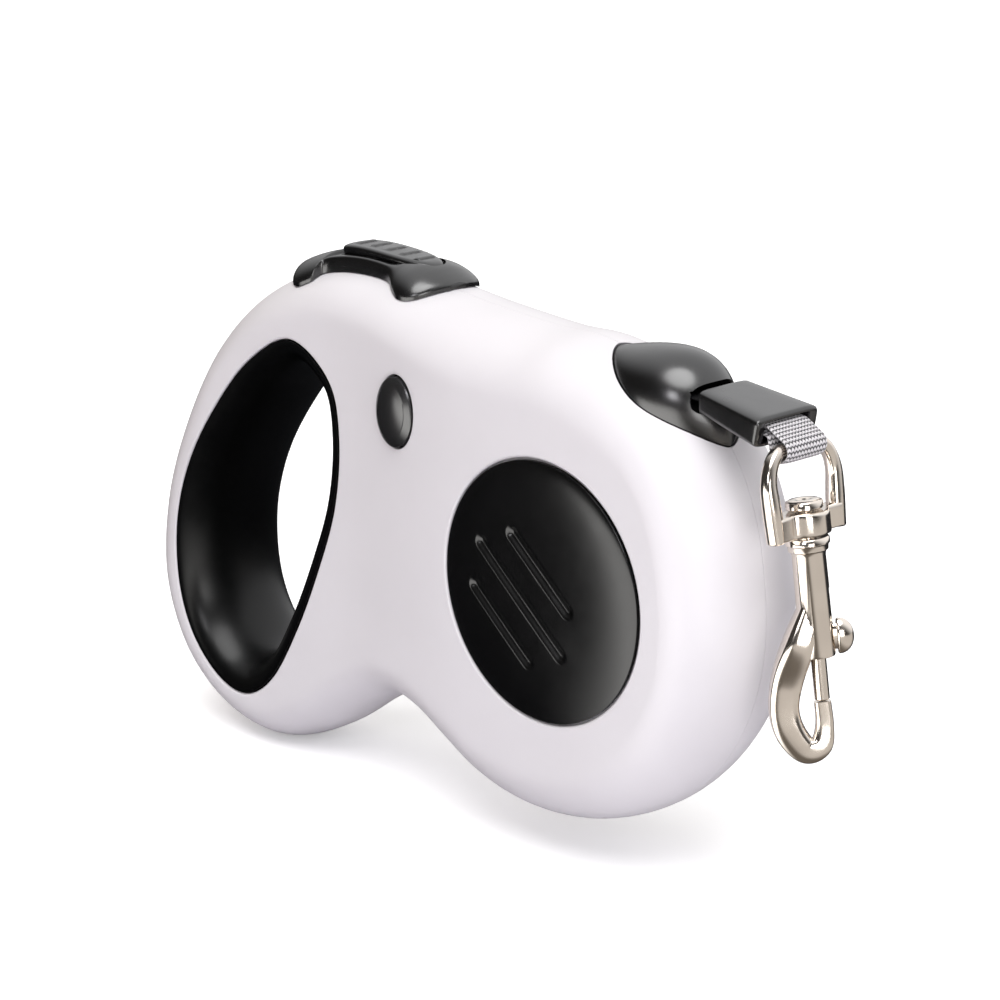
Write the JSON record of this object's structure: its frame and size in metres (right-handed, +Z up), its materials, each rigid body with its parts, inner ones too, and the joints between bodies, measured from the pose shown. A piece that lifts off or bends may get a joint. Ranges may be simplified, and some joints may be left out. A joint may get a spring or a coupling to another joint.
{
  "type": "retractable leash",
  "caption": "Hand-held retractable leash: moulded case with a finger loop, sprung tape reel, thumb brake, side lock button, tape nozzle and swivelling bolt snap.",
  "frame": {"origin": "middle of the part's length and thickness, level with the lowest point of the case", "axes": "+X forward, the way the tape is pulled; +Y to the left; +Z up to the thumb brake"},
  "size_m": [0.2096, 0.0412, 0.1263],
  "materials": {
    "white_plastic": "satin moulded",
    "black_plastic": "satin moulded",
    "black_rubber": "smooth soft-touch",
    "grey_plastic": "satin moulded",
    "inner_plastic": "moulded",
    "nickel": "bright nickel plating",
    "steel": "drawn",
    "webbing": "woven tape"
  },
  "bodies": {
    "case": {"right_shell": "white_plastic", "left_shell": "white_plastic", "grip_liner": "black_rubber", "right_cover": "black_plastic", "left_cover": "black_plastic", "case_screw_1": "steel", "case_screw_2": "steel", "case_screw_3": "steel", "case_screw_4": "steel", "case_screw_5": "steel", "reel_axle": "steel", "nozzle": "grey_plastic", "tape_guide_pin": "steel", "tape_lead": "webbing", "brake_base": "grey_plastic", "brake_lever_pin": "steel", "brake_spring": "steel", "lock_spring": "steel"},
    "reel": {"spool": "inner_plastic", "spring_cover": "inner_plastic", "power_spring": "steel", "tape_winding": "webbing"},
    "tape_end": {"tape_run": "webbing", "tape_sleeve": "grey_plastic", "tape_end_loop": "webbing"},
    "eye": {"swivel_eye": "nickel"},
    "hook": {"hook_body": "nickel", "hook_bolt_spring": "steel"},
    "bolt": {"hook_bolt": "nickel"},
    "brake_pad": {"brake_button": "grey_plastic"},
    "lever": {"brake_lever": "inner_plastic", "brake_shoe": "black_rubber"},
    "side_button": {"lock_button": "grey_plastic"}
  },
  "joints": [
    {"name": "tape_pull", "type": "slide", "parent": "case", "child": "tape_end", "axis": [1, 0, 0], "range_m": [0, 3], "stiffness_N_per_m": 2, "springref_m": -1.5},
    {"name": "reel_spin", "type": "hinge", "parent": "case", "child": "reel", "pos_m": [0.03746, 0, 0.06315], "axis": [0, 1, 0], "range_deg": [0, 6200]},
    {"name": "brake_press", "type": "slide", "parent": "case", "child": "brake_pad", "axis": [0, 0, -1], "range_m": [0, 0.0026], "stiffness_N_per_m": 1500, "springref_m": -0.0015},
    {"name": "brake_lever_pivot", "type": "hinge", "parent": "case", "child": "lever", "pos_m": [0.01546, 0, 0.10665], "axis": [0, -1, 0], "range_deg": [0, 3.4], "deforming": ["brake_spring"]},
    {"name": "lock_push", "type": "slide", "parent": "case", "child": "side_button", "axis": [0, 1, 0], "range_m": [0, 0.002], "stiffness_N_per_m": 1200, "springref_m": -0.0015, "deforming": ["lock_spring"]},
    {"name": "hook_swing", "type": "hinge", "parent": "tape_end", "child": "eye", "pos_m": [0.09278, 0, 0.10296], "axis": [0, 1, 0], "range_deg": [-95, 4]},
    {"name": "hook_swivel", "type": "hinge", "parent": "eye", "child": "hook", "pos_m": [0.09484, 0, 0.08992], "axis": [-0.1564, 0, 0.9877], "continuous": true},
    {"name": "bolt_pull", "type": "slide", "parent": "hook", "child": "bolt", "axis": [-0.1564, 0, 0.9877], "range_m": [0, 0.006], "stiffness_N_per_m": 500, "springref_m": -0.002, "deforming": ["hook_bolt_spring"]}
  ],
  "couplings": [
    {"joint": "reel_spin", "follows": "tape_pull", "rad_per_m": 35.74},
    {"joint": "brake_lever_pivot", "follows": "brake_press", "rad_per_m": 22.222}
  ]
}
